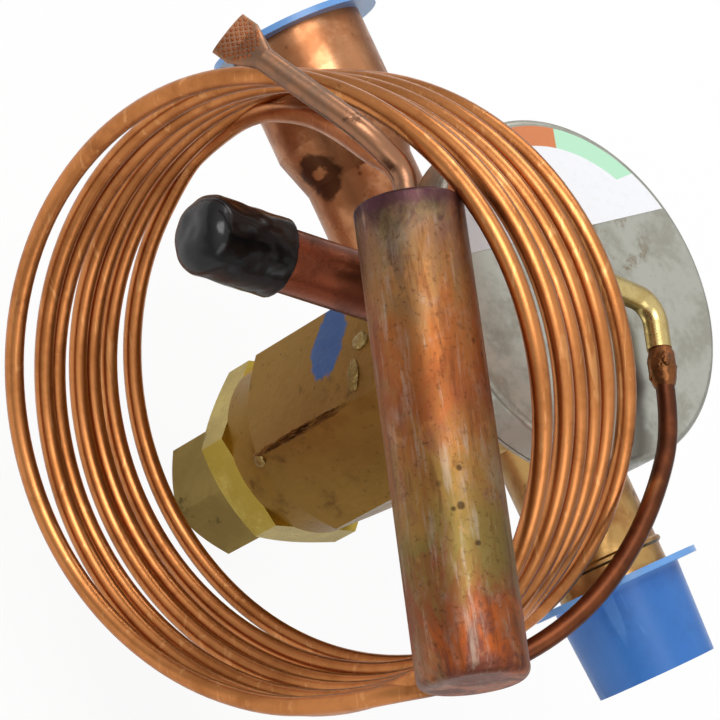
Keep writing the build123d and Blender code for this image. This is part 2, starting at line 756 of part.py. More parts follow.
fill_points, fill_radii = route([
    fill_entry,
    fill_entry - bulb_direction * fill_straight,
    fill_bend,
    fan_root,
])
fill_direction = (fill_points[-1] - fill_points[-2]).normalized()
fan_start = Plane(fill_points[-1], x_dir=fan_side, z_dir=fill_direction)
with BuildPart() as fill_tube:
    with BuildLine():
        FilletPolyline(*fill_points, radius=fill_radii)
    with BuildSketch(Plane(fill_points[0], z_dir=fill_points[1] - fill_points[0])):
        Circle(fill_radius)
    sweep()
    with BuildSketch(fan_start):
        Circle(fill_radius)
    with BuildSketch(fan_start.offset(fan_flare)):
        Ellipse(fan_width / 2, fan_thickness / 2)
    loft()
    with BuildSketch(fan_start.offset(fan_flare)):
        Ellipse(fan_width / 2, fan_thickness / 2)
    extrude(amount=fan_flat)
fill_tube.part.label = "fill_tube"
export_step(fill_tube.part, "parts/fill_tube.step")

print("inlet cap gap on its tube", round(mouth_gap, 3))
for name, radii in (("stub", stub_radii), ("lead", lead_radii), ("tail", tail_radii), ("fill", fill_radii)):
    print(name, "radii", [round(radius, 1) for radius in radii])
for tube, radius in ((capillary_lead, capillary_radius), (capillary_tail, capillary_radius)):
    path_length = tube.part.volume / (pi * radius**2)
    print(tube.part.label, "length by volume", round(path_length, 1))
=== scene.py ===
"""Looks of a thermostatic expansion valve with its coiled capillary and sensing bulb."""

import math
from typing import NamedTuple

import bpy
from mathutils import Matrix, Vector


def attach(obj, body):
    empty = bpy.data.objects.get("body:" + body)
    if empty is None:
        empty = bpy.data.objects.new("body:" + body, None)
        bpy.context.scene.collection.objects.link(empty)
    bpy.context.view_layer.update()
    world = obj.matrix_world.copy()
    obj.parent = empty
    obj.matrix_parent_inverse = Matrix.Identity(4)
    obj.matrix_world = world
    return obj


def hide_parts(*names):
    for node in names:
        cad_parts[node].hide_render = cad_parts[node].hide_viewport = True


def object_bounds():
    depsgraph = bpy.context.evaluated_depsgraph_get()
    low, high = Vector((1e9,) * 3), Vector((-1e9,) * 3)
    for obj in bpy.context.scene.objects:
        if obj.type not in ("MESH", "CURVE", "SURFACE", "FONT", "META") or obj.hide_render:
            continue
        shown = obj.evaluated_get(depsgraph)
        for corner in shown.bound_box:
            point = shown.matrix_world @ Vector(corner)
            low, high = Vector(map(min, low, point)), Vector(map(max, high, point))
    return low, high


bl_info = {
    "name": "Expansion Valve Maker",
    "version": (1, 0, 0),
    "blender": (4, 5, 0),
    "location": "View3D > Sidebar > Valve",
    "description": "Dresses a thermostatic expansion valve with its capillary, finishes and stage",
    "category": "Add Mesh",
}

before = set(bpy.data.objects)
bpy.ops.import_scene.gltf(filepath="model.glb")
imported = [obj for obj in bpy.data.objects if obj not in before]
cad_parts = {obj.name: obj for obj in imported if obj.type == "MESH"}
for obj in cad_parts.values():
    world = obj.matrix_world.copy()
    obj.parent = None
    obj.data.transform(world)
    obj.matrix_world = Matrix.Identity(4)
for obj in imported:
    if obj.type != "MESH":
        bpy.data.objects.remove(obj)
CAD_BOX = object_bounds()

MM = 0.001

# ---- places and sizes in millimetres, in the frame's own axes ----

HEAD_CENTRE = Vector((38.2, 0.0, 15.35))
STUB_OFFSET = Vector((2.2, -8.0, 0.0))          # foot of the stub, from the head's centre
FLUX_REACH = (9.5, 3.5)                         # flux stains fade in towards that foot
LATHE_RINGS = 22000.0                           # radians of the spinning marks a metre

LABEL_TURN = 3.6                                # degrees
LABEL_BAND = (18.75, 18.85)                     # radii between which the edge band begins
LABEL_BROWN = (-26.4, -26.0)                    # degrees between which its brown begins
LABEL_STRIPE = (10.25, 10.35)                   # the mint begins between these lines

BULB_TOP = Vector((52.4, 30.6, 24.3))
BULB_ALONG = Vector((-0.935, 0.352, -0.048)).normalized()
BULB_ACROSS = Vector((0.0, 0.7, 0.7))
BULB_LENGTH = 56.0
BULB_TINTS = (                                  # share of the length, and colour
    (0.0, "4C3430"), (0.06, "7A5A48"), (0.18, "8A623C"), (0.3, "94582E"), (0.42, "884C2A"),
    (0.52, "8C5C32"), (0.62, "8A6636"), (0.76, "786436"), (0.88, "804A2E"), (0.95, "9A5028"),
    (1.0, "6E4032"))
BULB_PITS = (                                   # centre and radius
    (Vector((22.2, 45.1, 28.3)), 0.4), (Vector((18.3, 46.9, 28.0)), 0.5),
    (Vector((18.3, 47.6, 27.4)), 0.3), (Vector((13.8, 47.3, 28.3)), 0.4))

HEX_FLAT = Vector((0.5, 0.8660254, 0.0))        # faces out of the painted flat
PAINT_MARK = Vector((47.0, 9.4, -18.3))
PAINT_ALONG = Vector((6.1, -3.5, 4.1)).normalized()
PAINT_SPREAD = (200.0, 340.0, 200.0)            # one over the mark's half sizes, in metres
PAINT_EDGE = (1.58, 1.42)

SCORCH = Vector((66.0, 7.4, -9.2))
SCORCH_OUTSIDE = (5.2, 4.2)                     # the dark ring fades in between these radii
SCORCH_INSIDE = (3.0, 2.4)                      # and out again between these

FAN_ROOT = Vector((74.6, 36.9, 19.5))           # crimped end of the filling tube
FAN_ALONG = Vector((13.0, 2.9, -6.9)).normalized()
FAN_SIDE = Vector((0.14, -0.7, 0.7))
FAN_FLARE, FAN_END = 3.2, 5.4
FAN_HALF_WIDTH, FAN_HALF_THICKNESS = 2.85, 0.65
FILL_RADIUS = 1.4
KNURL_ROOT, KNURL_TIP, KNURL_HEIGHT, KNURL_BEVEL = 0.4, 0.12, 0.3, 0.04
KNURL_START, KNURL_ROWS, KNURL_COLUMNS = 1.3, 10, 6
KNURL_ALONG, KNURL_ACROSS = 0.42, 0.78          # pitch of the knurls
KNURL_SIDE_MARGIN, KNURL_END_MARGIN = 0.45, 0.25

COIL_CENTRE = Vector((41.3, 35.7, -5.0))
COIL_ALONG = Vector((0.053, 0.973, 0.226)).normalized()
COIL_UP = Vector((-0.404, -0.186, 0.895)).normalized()
COIL_SIDE = Vector((0.913, -0.139, 0.383)).normalized()
COIL_START, COIL_END = -95.0, -2385.0           # degrees
COIL_DEPTH = 22.4
COIL_DEPTHS = (                                 # degrees round the coil, and depth
    (-78, 0.1), (-180, 0.0), (-360, 0.9), (-540, -4.9), (-720, -5.2), (-900, -7.7),
    (-1080, -8.7), (-1260, -12.3), (-1440, -13.6), (-1620, -14.85), (-1800, -17.0),
    (-1980, -18.3), (-2160, -22.2), (-2340, -22.4), (-2400, -22.4))
COIL_SWAYS = ((0.35, 0.83, 0.0), (0.2, 1.61, 40.0))     # height, waves a turn, start in degrees
BROWNED_REACH = (40.0, 42.2)                    # the capillary is browned beyond this radius
BROWNED_DEPTH = (-23.8, -26.2)                  # and behind this depth
LEAD_ROUTE = (
    (23.6, -3.6, 18.3), (18.1, -1.1, 18.3), (12.2, 5.2, 18.1), (6.6, 11.9, 15.9),
    (2.4, 19.6, 12.4), (0.7, 27.0, 7.8), (1.2, 33.6, 1.6), (3.2, 37.7, -5.0), (4.6, 39.4, -12.1))
TAIL_ROUTE = (
    (75.9, 13.9, -18.7), (76.0, 14.2, -8.4), (71.6, 16.0, 1.2), (66.4, 20.1, 9.4),
    (60.8, 24.8, 17.0), (56.7, 27.6, 23.0), (52.0, 29.35, 22.8))

SPATTER = (                                     # name, centre, half sizes, direction, roughness
    ("hex_edge_flash", (38.3, 14.35, -24.6), (10.6, 0.42, 0.5), (0, 0, 1), 0.55),
    ("solder_drop_1", (44.8, 10.65, -11.9), (0.45, 1.1, 1.5), (0.5, 0.866, 0.0), 0.3),
    ("solder_drop_2", (41.2, 12.75, -13.4), (0.4, 2.3, 1.0), (0.5, 0.866, 0.0), 0.35),
    ("solder_drop_3", (37.7, 14.1, -34.2), (0.5, 1.0, 0.9), (0, 1, 0), 0.3))
SOLDER_LUMP = ((25.3, -4.35, 18.3), (3.7, 1.75, 1.75), (-0.913, 0.408, 0.0), 0.5)
CRUST_LUMPS = (                                 # centre and half sizes
    ((25.9, -3.9, 19.8), (1.0, 0.7, 0.5)), ((24.8, -5.3, 19.0), (0.9, 0.6, 0.5)),
    ((26.4, -5.9, 17.9), (0.9, 0.7, 0.5)), ((24.5, -3.0, 17.6), (0.8, 0.7, 0.5)))
CRUST_ALONG, CRUST_ROUGHNESS = (-0.9, 0.4, 0.0), 0.3

CAP_WELD = 0.002
CAP_VOXEL = 0.25
CAP_SWELLS, CAP_DENTS = 5.0, -0.55              # width and height of the dents

INLET_FLANGE, OUTLET_FLANGE = 4.3, 84.4         # where the blue flanges stand along X
FLANGE_PALE = (1.6, 0.5)                        # they turn pale towards there

# ---- the stage, in metres ----

CAMERA_LENS, CAMERA_SENSOR = 173.0, 36.0        # millimetres
CAMERA_PLACE = (0.00059, 0.31457, 0.29307)
CAMERA_RIGHT = Vector((-0.41836913, -0.67297165, 0.60998067))
CAMERA_UP = Vector((0.90306436, -0.23635652, 0.35862286))
CAMERA_BACK = Vector((-0.09717011, 0.70088854, 0.70662099))
FLOOR_ROOM = 0.0082                             # the seal cap unscrews by 8 mm towards the floor
STAGE_MIDDLE = Vector((0.04, 0.02, -0.01))
LAMPS = (                                       # name, place, width, setting of its power
    ("key_lamp", (0.25, 0.35, 0.75), 0.45, "key_power"),
    ("fill_lamp", (-0.65, 0.25, 0.45), 0.5, "fill_power"),
    ("rim_lamp", (0.55, -0.45, 0.5), 0.4, "rim_power"))
FLOOR_GLOW = 0.9                                # share of the floor that is plain white to the eye
ROOM_LIGHT = 0.5
ROOM_IN_METAL = (0.1, 0.75, 0.42, 1.0)          # from and to, in height and in brightness


class Metal(NamedTuple):
    """A plain metal. Its base is a hex colour or the name of one of the user's colours."""

    name: str
    base: str
    patch: str
    stain: str
    rough: tuple        # least and most
    scale: float        # of the tarnished patches
    grain: float        # of the specks and scratches
    bump: float
    pieces: tuple
    specks: float = 0.3


class Plastic(NamedTuple):
    """A moulded plastic, paler at its flange if that has a place along X."""

    name: str
    base: str
    shade: str
    pale: str
    rough: float
    flange_at: float
    pieces: tuple
    coat: float = 0.0
    bump: float = 0.12
    dents: float = 0.0
    gloss: float = 0.5


METALS = (
    Metal("filling_tube_copper", "9A6E52", "7E6250", "3F2A20", (0.34, 0.5), 150.0, 1100.0, 0.35,
          ("fill_tube",)),
    Metal("knurl_copper", "A8663E", "8C5030", "4A2A1A", (0.26, 0.4), 300.0, 1100.0, 0.2,
          ("crimp_knurls",)),
    Metal("edge_flash_brass", "6E4C24", "8A6530", "3A2410", (0.45, 0.62), 260.0, 1000.0, 0.7,
          ("hex_edge_flash",), specks=0.6),
    Metal("spattered_solder", "A08B58", "86703E", "54401E", (0.36, 0.52), 300.0, 1000.0, 0.6,
          ("solder_drop_1", "solder_drop_2", "solder_drop_3")),
    Metal("turned_nut_brass", "nut_brass", "C2AC5A", "7A6A30", (0.24, 0.38), 90.0, 1200.0, 0.15,
          ("bottom_nut",)),
    Metal("dull_cap_brass", "cap_brass", "9C864A", "4C3C1C", (0.34, 0.5), 110.0, 900.0, 0.25,
          ("seal_cap",)),
    Metal("pale_stub_brass", "C8B37A", "B39A60", "6E5530", (0.25, 0.4), 200.0, 1200.0, 0.2,
          ("capillary_stub",)),
    Metal("crusted_solder", "6A4428", "8A5634", "2E1A10", (0.4, 0.62), 420.0, 1000.0, 0.8,
          ("solder_joint", "solder_lump", "joint_crust_1", "joint_crust_2", "joint_crust_3",
           "joint_crust_4"), specks=0.6),
    Metal("equaliser_copper", "8E5038", "6C3C2A", "4A2818", (0.26, 0.42), 130.0, 900.0, 0.25,
          ("equalizer_tube",)),
    Metal("inlet_copper", "B8925A", "9C6C40", "5C3C20", (0.28, 0.42), 110.0, 900.0, 0.25,
          ("inlet_tube",)),
    Metal("braze_alloy", "B89A62", "96784A", "4E3A20", (0.3, 0.46), 260.0, 900.0, 0.5,
          ("inlet_braze", "outlet_braze", "equalizer_braze")),
    Metal("turned_inner_brass", "C2A45A", "AE8F4A", "7A6032", (0.2, 0.32), 140.0, 1500.0, 0.15,
          ("seat_ring", "pin_carrier", "buffer_plate", "spring_seat", "adjusting_stem")),
    Metal("ground_inner_steel", "B8B8B8", "A0A09E", "707070", (0.18, 0.3), 150.0, 1600.0, 0.12,
          ("valve_pin", "push_rod_1", "push_rod_2", "superheat_spring", "diaphragm")),
)
PLASTICS = (
    Plastic("blue_cap_plastic", "blue", "225EA6", "6FA6E4", 0.34, INLET_FLANGE,
            ("inlet_cap",), coat=0.1),
    Plastic("blue_plug_plastic", "blue", "225EA6", "6FA6E4", 0.34, OUTLET_FLANGE,
            ("outlet_plug",), coat=0.1),
    Plastic("black_vinyl", "black", "070708", "131316", 0.2, None,
            ("equalizer_cap", "dented_vinyl_cap"), bump=0.2, dents=0.3, gloss=0.36),
    Plastic("packing_ring", "D8D4C8", "C4BFB0", "EFECE4", 0.45, None,
            ("stem_packing", "seal_cap_gasket")),
)


def linear(code):
    """A colour written as six hex digits, as linear red, green and blue."""
    values = [int(code[i:i + 2], 16) / 255 for i in (0, 2, 4)]
    return tuple(v / 12.92 if v <= 0.04045 else ((v + 0.055) / 1.055) ** 2.4 for v in values)


# ---- sizes and colours that a user may change ----

COLOUR = {"size": 3, "min": 0, "max": 1, "subtype": "COLOR"}


class CapillarySizes(bpy.types.PropertyGroup):
    """Sizes of the capillary tube and its coil."""

    diameter: bpy.props.FloatProperty(
        name="Tube diameter", description="Outside diameter of the capillary tube",
        default=0.0024, min=0.001, max=0.01, unit="LENGTH", precision=4)
    front_radius: bpy.props.FloatProperty(
        name="Front turn", description="Radius of the turn that lies farthest from the valve",
        default=0.0377, min=0.02, max=0.06, unit="LENGTH", precision=4)
    back_radius: bpy.props.FloatProperty(
        name="Back turn", description="Radius of the turn nearest to the valve",
        default=0.0364, min=0.02, max=0.06, unit="LENGTH", precision=4)
    turn_points: bpy.props.IntProperty(
        name="Points a turn", description="Control points in each turn of the coil",
        default=18, min=12, max=36)


class FinishColours(bpy.types.PropertyGroup):
    """Colours of the metals, plastics and label."""

    copper: bpy.props.FloatVectorProperty(
        name="Copper", description="Bright drawn copper of the coil",
        default=linear("C27E4A"), **COLOUR)
    dark_copper: bpy.props.FloatVectorProperty(
        name="Dark copper", description="Copper that the torch has browned",
        default=linear("553020"), **COLOUR)
    brass: bpy.props.FloatVectorProperty(
        name="Body brass", description="Forged brass of the valve body",
        default=linear("88672E"), **COLOUR)
    nut_brass: bpy.props.FloatVectorProperty(
        name="Nut brass", description="Turned brass of the bottom nut",
        default=linear("AA923E"), **COLOUR)
    cap_brass: bpy.props.FloatVectorProperty(
        name="Seal cap brass", description="Dull brass of the seal cap",
        default=linear("8E7840"), **COLOUR)
    steel: bpy.props.FloatVectorProperty(
        name="Head steel", description="Stainless steel of the power head",
        default=linear("B6B6AC"), **COLOUR)
    blue: bpy.props.FloatVectorProperty(
        name="Blue caps", description="Soft blue plastic of the shipping caps",
        default=linear("2A6CB8"), **COLOUR)
    black: bpy.props.FloatVectorProperty(
        name="Black cap", description="Dipped black vinyl of the small cap",
        default=linear("060607"), **COLOUR)
    label: bpy.props.FloatVectorProperty(
        name="Label", description="White ground of the head label",
        default=linear("EEEFF3"), **COLOUR)


class StageSettings(bpy.types.PropertyGroup):
    """The floor and the lamps."""

    floor_size: bpy.props.FloatProperty(
        name="Floor", description="Width of the square floor",
        default=6.0, min=1.0, max=20.0, unit="LENGTH")
    key_power: bpy.props.FloatProperty(
        name="Key lamp", description="Power of the main soft lamp",
        default=3.4, min=0.0, max=100.0, unit="POWER")
    fill_power: bpy.props.FloatProperty(
        name="Fill lamp", description="Power of the fill lamp",
        default=1.3, min=0.0, max=100.0, unit="POWER")
    rim_power: bpy.props.FloatProperty(
        name="Rim lamp", description="Power of the lamp behind the valve",
        default=1.8, min=0.0, max=100.0, unit="POWER")


# ---- node helpers ----

class Board:
    """One node tree and short ways to add and join its nodes."""

    STEP, ROW = 200, 8      # nodes are laid out eight to a row

    def __init__(self, tree):
        self.tree = tree
        self.count = 0

    def node(self, kind, **settings):
        """A new node with its settings made."""
        made = self.tree.nodes.new(kind)
        row, column = divmod(self.count, self.ROW)
        made.location = (self.STEP * (column - 4), self.STEP * (1.5 - row))
        self.count += 1
        for name, value in settings.items():
            setattr(made, name, value)
        return made

    def feed(self, socket, value):
        """Links a socket to another one, or sets its value."""
        if isinstance(value, bpy.types.NodeSocket):
            self.tree.links.new(value, socket)
        elif value is not None:
            socket.default_value = value

    def fed(self, made, *given):
        """The first output of a node, with its inputs fed in their order."""
        for socket, value in zip(made.inputs, given):
            self.feed(socket, value)
        return made.outputs[0]

    def named(self, made, **given):
        """The outputs of a node, with its inputs fed by name."""
        for name, value in given.items():
            self.feed(made.inputs[name.capitalize()], value)
        return made.outputs

    def math(self, operation, a, b=None, clamp=False):
        """One step of arithmetic."""
        return self.fed(self.node("ShaderNodeMath", operation=operation, use_clamp=clamp), a, b)

    def times(self, a, b):
        """One value multiplied by another."""
        return self.math("MULTIPLY", a, b)

    def vector(self, operation, a, b=None):
        """One step of arithmetic on vectors; a length comes out as a number."""
        made = self.node("ShaderNodeVectorMath", operation=operation)
        self.fed(made, a, b)
        return made.outputs["Value" if operation == "LENGTH" else "Vector"]

    def split(self, vector):
        """The X, Y and Z of a vector."""
        return self.named(self.node("ShaderNodeSeparateXYZ"), vector=vector)

    def ease(self, value, low, high, to_low=0.0, to_high=1.0):
        """Runs smoothly from to_low at low to to_high at high."""
        made = self.node("ShaderNodeMapRange", interpolation_type="SMOOTHSTEP")
        return self.fed(made, value, low, high, to_low, to_high)

    def ease_mm(self, value, limits, to_low=0.0, to_high=1.0):
        """The same between two limits in millimetres."""
        return self.ease(value, limits[0] * MM, limits[1] * MM, to_low, to_high)

    def noise(self, vector, scale, detail=4.0, roughness=0.55, distortion=0.0):
        """Cloudy noise from 0 to 1."""
        return self.named(self.node("ShaderNodeTexNoise"), vector=vector, scale=scale,
                          detail=detail, roughness=roughness, distortion=distortion)[0]

    def mix(self, factor, a, b):
        """Colour a at a factor of 0 and b at 1."""
        made = self.node("ShaderNodeMix", data_type="RGBA")
        self.feed(made.inputs[0], factor)
        self.feed(made.inputs[6], colour4(a))
        self.feed(made.inputs[7], colour4(b))
        return made.outputs[2]

    def lay(self, under, mask, strength, over, clamp=False):
        """A colour laid over another where a mask lets it, up to a strength."""
        return self.mix(self.math("MULTIPLY", mask, strength, clamp), under, over)

    def ramp(self, factor, stops):
        """A colour ramp with its stops as (place, colour)."""
        made = self.node("ShaderNodeValToRGB")
        elements = made.color_ramp.elements
        while len(elements) < len(stops):
            elements.new(0.5)
        for element, (place, colour) in zip(elements, stops):
            element.position = place
            element.color = colour4(colour)
        self.feed(made.inputs[0], factor)
        return made.outputs[0]

    def place(self, origin=(0.0, 0.0, 0.0), x_axis=None, z_axis=None):
        """Object coordinates seen from a frame at origin, in metres."""
        coords = self.node("ShaderNodeTexCoord")
        made = self.node("ShaderNodeMapping", vector_type="TEXTURE")
        made.inputs["Location"].default_value = origin
        if z_axis is not None:
            side = (x_axis - z_axis * x_axis.dot(z_axis)).normalized()
            turned = Matrix((side, z_axis.cross(side), z_axis)).transposed()
            made.inputs["Rotation"].default_value = turned.to_euler()
        self.tree.links.new(coords.outputs["Object"], made.inputs["Vector"])
        return made.outputs[0]

    def group(self, name, **given):
        """The outputs of a shared group, with its inputs given by name."""
        made = self.node("ShaderNodeGroup", node_tree=bpy.data.node_groups[name])
        return self.named(made, **given)

    def patches(self, vector, scale, low, high, shift=None):
        """Mask of cloudy tarnish; a shift gives other patches in the same place."""
        if shift is not None:
            vector = self.vector("ADD", vector, shift)
        return self.group("tarnish_patches", vector=vector, scale=scale, low=low,
                          high=high)["Mask"]

    def specks(self, vector, scale, reach, share):
        """Mask of small round specks."""
        return self.group("specks", vector=vector, scale=scale, reach=reach, share=share)["Mask"]

    def scratches(self, vector, scale):
        """Height and Mask of fine scratches."""
        return self.group("fine_scratches", vector=vector, scale=scale)

    def bump(self, height, strength, distance):
        """A normal that follows a height."""
        return self.named(self.node("ShaderNodeBump"), strength=strength, distance=distance,
                          height=height)[0]


def colour4(value):
    """A colour with its alpha from hex digits or three values, or the socket that was given."""
    if isinstance(value, bpy.types.NodeSocket):
        return value
    if isinstance(value, str):
        value = linear(value)
    return (*value, 1.0)


def new_group(name, outputs, **numbers):
    """An empty group that takes a Vector and numbers, each with its default, and gives numbers."""
    tree = bpy.data.node_groups.new(name, "ShaderNodeTree")
    add = tree.interface.new_socket
    add(name="Vector", in_out="INPUT", socket_type="NodeSocketVector")
    for socket_name, default in numbers.items():
        socket = add(name=socket_name, in_out="INPUT", socket_type="NodeSocketFloat")
        socket.default_value = default
    for socket_name in outputs:
        add(name=socket_name, in_out="OUTPUT", socket_type="NodeSocketFloat")
    board = Board(tree)
    return board, board.node("NodeGroupInput").outputs, board.node("NodeGroupOutput").inputs


def make_tarnish_group():
    """Cloudy patches, large ones broken up by small ones."""
    board, given, out = new_group("tarnish_patches", ["Mask"], Scale=90.0, Low=0.42, High=0.62)
    large = board.noise(given["Vector"], given["Scale"], 5.0, 0.6, 0.4)
    fine = board.noise(given["Vector"], board.times(given["Scale"], 7.0), 3.0, 0.6)
    blend = board.math("ADD", board.times(large, 0.78), board.times(fine, 0.22))
    board.feed(out["Mask"], board.ease(blend, given["Low"], given["High"]))


def make_speck_group():
    """Small round specks or pits, with their size and share set."""
    board, given, out = new_group("specks", ["Mask"], Scale=700.0, Reach=0.22, Share=0.5)
    cells = board.named(board.node("ShaderNodeTexVoronoi"), vector=given["Vector"],
                        scale=given["Scale"])
    dot = board.ease(cells["Distance"], given["Reach"], 0.02)
    picked = board.noise(given["Vector"], board.times(given["Scale"], 0.2), 2.0)
    share = board.ease(picked, board.math("SUBTRACT", 1.0, given["Share"]),
                       board.math("SUBTRACT", 1.08, given["Share"]))
    board.feed(out["Mask"], board.times(dot, share))


def make_scratch_group():
    """Fine marks of handling and drawing, as a height and as a mask."""
    board, given, out = new_group("fine_scratches", ["Height", "Mask"], Scale=900.0)
    stretched = board.vector("MULTIPLY", given["Vector"], (1.0, 0.12, 0.35))
    lines = board.noise(stretched, given["Scale"], 3.0, 0.7, 0.2)
    crossing = board.vector("MULTIPLY", given["Vector"], (0.15, 1.0, 0.8))
    marks = board.noise(crossing, board.times(given["Scale"], 0.6), 2.0, 0.6, 0.8)
    board.feed(out["Height"], board.math("ADD", lines, board.times(marks, 0.6)))
    board.feed(out["Mask"], board.ease(marks, 0.6, 0.68))


# ---- finishes ----

def new_finish(name):
    """A material with one Principled shader, the board of its nodes and the shader's inputs."""
    finish = bpy.data.materials.new(name)
    finish.use_nodes = True
    finish.node_tree.nodes.clear()
    board = Board(finish.node_tree)
    shader = board.node("ShaderNodeBsdfPrincipled")
    output = board.node("ShaderNodeOutputMaterial")
    board.tree.links.new(shader.outputs[0], output.inputs["Surface"])
    return finish, board, shader.inputs


def join_skin(board, skin, colour, roughness, height, strength, distance, metallic=1.0):
    """Joins a colour, a roughness and bumps to the shader."""
    board.feed(skin["Base Color"], colour)
    board.feed(skin["Roughness"], roughness)
    board.feed(skin["Metallic"], metallic)
    board.feed(skin["Normal"], board.bump(height, strength, distance))


def make_metal(colours, kind):
    """Metal with tarnished patches, darker stains, specks and fine scratches."""
    finish, board, skin = new_finish(kind.name)
    where = board.place()
    patch_mask = board.patches(where, kind.scale, 0.42, 0.62)
    stain_mask = board.patches(where, kind.scale * 1.7, 0.6, 0.7, shift=(0.31, 0.17, 0.05))
    speck_mask = board.specks(where, kind.grain * 0.8, 0.24, kind.specks)
    scratches = board.scratches(where, kind.grain)
    colour = board.mix(patch_mask, getattr(colours, kind.base, kind.base), kind.patch)
    colour = board.lay(colour, stain_mask, 0.8, kind.stain)
    colour = board.lay(colour, speck_mask, 0.7, kind.stain)
    roughness = board.ease(board.math("ADD", patch_mask, stain_mask), 0.0, 1.6, *kind.rough)
    roughness = board.math("ADD", roughness, board.times(scratches["Mask"], 0.08))
    height = board.math("SUBTRACT", scratches["Height"], board.times(speck_mask, 1.2))
    join_skin(board, skin, colour, roughness, height, kind.bump, 0.0001)
    return finish


def make_coil_copper(colours):
    """Bright drawn copper that turns dark towards the solder joint, with painted highlight streaks
    along the tube.
    """
    finish, board, skin = new_finish("drawn_copper")
    where = board.place()
    coil = board.place(COIL_CENTRE * MM, COIL_SIDE, COIL_ALONG)
    reach = board.vector("LENGTH", board.vector("MULTIPLY", coil, (1.0, 1.0, 0.0)))
    wander = board.times(board.noise(where, 60.0, 3.0), 0.002)
    browned = board.ease_mm(board.math("ADD", reach, wander), BROWNED_REACH)
    behind = board.ease_mm(board.split(coil)[2], BROWNED_DEPTH)
    browned = board.math("MAXIMUM", browned, behind)
    patch_mask = board.patches(where, 120.0, 0.40, 0.66)
    streaks_and_glints = board.scratches(coil, 1500.0)
    brown_mask = board.patches(where, 210.0, 0.55, 0.72, shift=(0.2, 0.4, 0.1))
    bright = board.mix(patch_mask, colours.copper, "A96A3A")
    bright = board.lay(bright, brown_mask, 0.6, "7C4628")
    # painted highlight: pale copper streaks along the tube, where the scratch mask lets them
    bright = board.lay(bright, streaks_and_glints["Mask"], 0.35, "E6AC72")
    dark = board.mix(patch_mask, colours.dark_copper, "6E3E26")
    roughness = board.ease(board.math("ADD", patch_mask, browned), 0.0, 2.0, 0.31, 0.46)
    join_skin(board, skin, board.mix(browned, bright, dark), roughness, streaks_and_glints["Height"], 0.2,
              0.00008)
    return finish


def make_bulb_copper():
    """Copper with the heat colours that brazing left in bands along the bulb, with painted
    highlight flecks and painted reflection in pale grey patches and lengthwise streaks.
    """
    finish, board, skin = new_finish("heat_tinted_copper")
    where = board.place()
    bulb = board.place(BULB_TOP * MM, BULB_ACROSS, BULB_ALONG)
    share = board.math("DIVIDE", board.split(bulb)[2], BULB_LENGTH * MM)
    squeezed = board.vector("MULTIPLY", bulb, (1.0, 1.0, 0.55))
    clouds = board.noise(squeezed, 130.0, 5.0, 0.62, 1.1)
    fine = board.noise(squeezed, 620.0, 4.0, 0.6, 0.5)
    drift = board.times(board.math("SUBTRACT", clouds, 0.5), 0.62)
    tint = board.ramp(board.math("ADD", share, drift), BULB_TINTS)
    tint = board.lay(tint, board.patches(squeezed, 170.0, 0.54, 0.68), 0.45, "78423E")
    olive = board.patches(squeezed, 150.0, 0.5, 0.7, shift=(0.4, 0.1, 0.2))
    tint = board.lay(tint, olive, 0.4, "80744A")
    # painted highlight: small pale orange flecks
    tint = board.mix(board.ease(fine, 0.58, 0.72, 0.0, 0.25), tint, "C48350")
    # painted reflection: pale grey hazy patches
    reflection_haze = board.patches(squeezed, 240.0, 0.5, 0.68, shift=(0.7, 0.2, 0.5))
    tint = board.lay(tint, reflection_haze, 0.35, "9A8C80")
    # painted reflection: pale streaks along the bulb; darker streaks where the same noise is low
    drawn = board.noise(board.vector("MULTIPLY", bulb, (1.0, 1.0, 0.12)), 900.0, 4.0, 0.65)
    tint = board.mix(board.ease(drawn, 0.54, 0.7, 0.0, 0.45), tint, "A39484")
    tint = board.mix(board.ease(drawn, 0.46, 0.32, 0.0, 0.5), tint, "5A3220")
    soot = board.ease(board.noise(where, 1400.0, 4.0, 0.7), 0.54, 0.68, 0.0, 0.5)
    tint = board.mix(soot, tint, "4A2C1C")
    pits = board.specks(where, 330.0, 0.2, 0.42)
    tint = board.lay(tint, pits, 0.85, "3A2018")
    for place, radius in BULB_PITS:
        away = board.vector("LENGTH", board.place(place * MM))
        ragged = board.math("ADD", away, board.times(fine, 0.0006))
        spot = board.ease_mm(ragged, (radius + 0.4, radius + 0.1), 0.0, 0.75)
        tint = board.mix(spot, tint, "2E1C14")
    edge_wander = board.times(board.math("SUBTRACT", fine, 0.5), 0.03)
    rim = board.ease(board.math("ADD", share, edge_wander), 0.045, 0.018)
    tint = board.lay(tint, rim, 0.75, "4E3038")
    scratches = board.scratches(bulb, 700.0)
    height = board.math("SUBTRACT", scratches["Height"], board.times(pits, 1.6))
    roughness = board.ease(clouds, 0.3, 0.7, 0.42, 0.56)
    join_skin(board, skin, tint, roughness, height, 0.3, 0.00012)
    return finish


